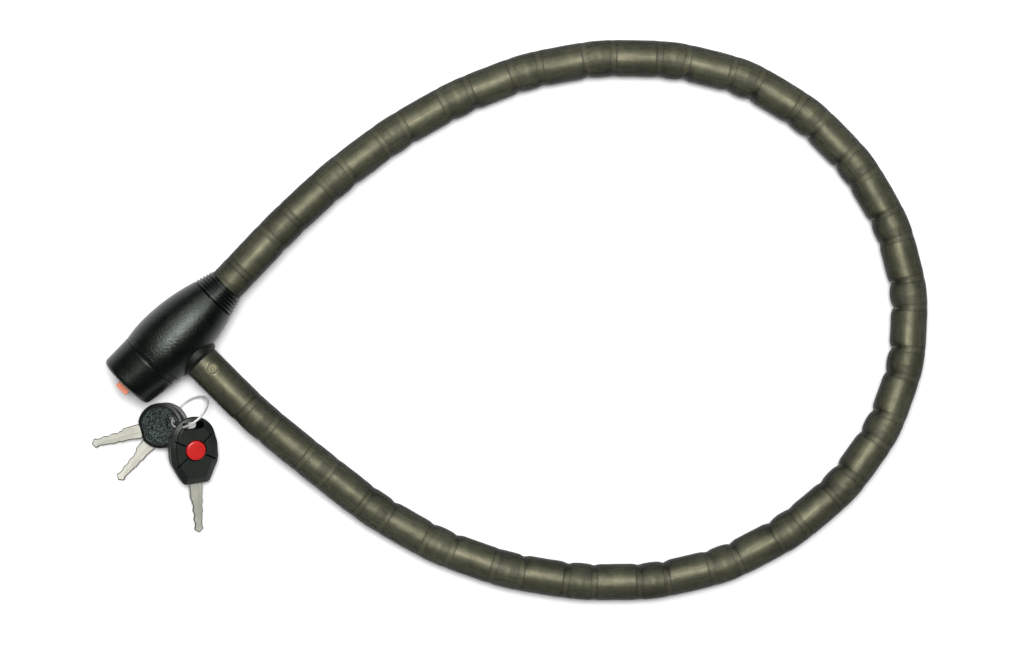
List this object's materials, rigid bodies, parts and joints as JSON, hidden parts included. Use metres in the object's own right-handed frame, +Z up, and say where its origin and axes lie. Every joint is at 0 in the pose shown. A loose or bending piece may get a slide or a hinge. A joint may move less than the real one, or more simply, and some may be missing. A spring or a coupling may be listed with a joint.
{
  "type": "armoured cable lock",
  "caption": "Armoured cable lock: steel sleeves and rings in a smoky sheath, closed to a loop by a barrel-shaped key lock with a cross bolt, with lit and plain keys on a split ring.",
  "frame": {"origin": "on the floor, under the middle of the lock and its keys as they lie, seen from above", "axes": "+X along the longest extent, from the lock head to the far side of the loop; +Y to the stretch that leaves the neck; +Z up from the floor, along the shortest extent"},
  "size_m": [0.4614, 0.3087, 0.0382],
  "materials": {
    "black_plastic": "fine moulded texture, semi-matt",
    "grey_plastic": "semi-matt",
    "orange_plastic": "satin",
    "die_cast": "die-cast zinc alloy, bare",
    "brass": "turned",
    "steel": "turned or drawn, bright",
    "armour_steel": "hardened, yellow-brown passivated",
    "smoky_sheath": "smooth, smoky, see-through",
    "nickel": "nickel plated",
    "red_plastic": "satin",
    "circuit_board": "solder mask",
    "clear_plastic": "clear"
  },
  "bodies": {
    "lock": {"barrel_casing": "black_plastic", "end_cap": "black_plastic", "neck_boot": "black_plastic", "port_collar": "grey_plastic", "lock_body": "die_cast", "cylinder_shell": "brass", "plug_clip": "steel", "cylinder_pin": "steel", "latch_spring": "steel", "rope_anchor": "steel", "anchor_pin": "steel", "sleeves_a": "armour_steel", "couplers_a": "armour_steel", "wire_rope_a": "steel", "sheath_a": "smoky_sheath"},
    "cable_b": {"sleeves_b": "armour_steel", "couplers_b": "armour_steel", "wire_rope_b": "steel", "sheath_b": "smoky_sheath"},
    "cable_c": {"sleeves_c": "armour_steel", "couplers_c": "armour_steel", "wire_rope_c": "steel", "sheath_c": "smoky_sheath"},
    "cable_d": {"sleeves_d": "armour_steel", "couplers_d": "armour_steel", "wire_rope_d": "steel", "sheath_d": "smoky_sheath", "end_sleeve": "armour_steel", "locking_bolt": "steel", "bolt_rivet": "steel"},
    "key_plug": {"key_plug": "brass", "wafers": "brass", "plug_cam": "die_cast"},
    "latch": {"latch_plate": "steel"},
    "keyhole_cover": {"keyhole_cover": "orange_plastic"},
    "key_ring": {"split_ring": "nickel"},
    "key_1": {"key_1_blade": "nickel", "key_1_bow": "black_plastic"},
    "key_2": {"key_2_blade": "nickel", "key_2_bow": "black_plastic"},
    "lit_key": {"lit_key_blade": "nickel", "lit_key_upper_shell": "black_plastic", "lit_key_lower_shell": "black_plastic", "lit_key_board": "circuit_board", "lit_key_cell": "nickel", "lit_key_lamp": "clear_plastic", "lit_key_screw": "steel"},
    "lit_button": {"lit_key_button": "red_plastic"}
  },
  "joints": [
    {"name": "loop_open", "type": "hinge", "parent": "lock", "child": "cable_b", "pos_m": [-0.0647, 0.1022, 0.01], "axis": [0, 0, -1], "range_deg": [0, 6.5]},
    {"name": "loop_middle", "type": "hinge", "parent": "cable_b", "child": "cable_c", "pos_m": [0.1644, 0.11281, 0.01], "axis": [0, 0, -1], "range_deg": [-13, 0]},
    {"name": "loop_far", "type": "hinge", "parent": "cable_c", "child": "cable_d", "pos_m": [0.1538, -0.1163, 0.01], "axis": [0, 0, -1], "range_deg": [0, 6.5]},
    {"name": "key_turn", "type": "hinge", "parent": "lock", "child": "key_plug", "pos_m": [-0.2071, -0.0331, 0.0191], "axis": [0.7071, 0.7071, 0], "range_deg": [0, 90]},
    {"name": "latch_slide", "type": "slide", "parent": "lock", "child": "latch", "axis": [0, 0, 1], "range_m": [0, 0.00283], "deforming": ["latch_spring"]},
    {"name": "cover_turn", "type": "hinge", "parent": "lock", "child": "keyhole_cover", "pos_m": [-0.2095, -0.0355, 0.0191], "axis": [0.7071, 0.7071, 0], "range_deg": [0, 90]},
    {"name": "ring_lift", "type": "slide", "parent": "lock", "child": "key_ring", "axis": [0, 0, 1], "range_m": [0, 0.06]},
    {"name": "key_1_swing", "type": "hinge", "parent": "key_ring", "child": "key_1", "pos_m": [-0.1877, -0.0569, 0.00995], "axis": [0, 0, 1], "range_deg": [-6, 6]},
    {"name": "key_2_swing", "type": "hinge", "parent": "key_ring", "child": "key_2", "pos_m": [-0.1867, -0.0543, 0.0059], "axis": [0, 0, 1], "range_deg": [-6, 6]},
    {"name": "lit_key_swing", "type": "hinge", "parent": "key_ring", "child": "lit_key", "pos_m": [-0.1747, -0.057, 0.01635], "axis": [0, 0, 1], "range_deg": [0, 12]},
    {"name": "lit_button_press", "type": "slide", "parent": "lit_key", "child": "lit_button", "axis": [-0.3709, 0.2134, -0.9038], "range_m": [0, 0.0008], "stiffness_N_per_m": 400}
  ],
  "couplings": [
    {"joint": "loop_middle", "follows": "loop_open", "ratio": -2},
    {"joint": "loop_far", "follows": "loop_open", "ratio": 1},
    {"joint": "key_turn", "follows": "latch_slide", "rad_per_m": 555.36}
  ]
}
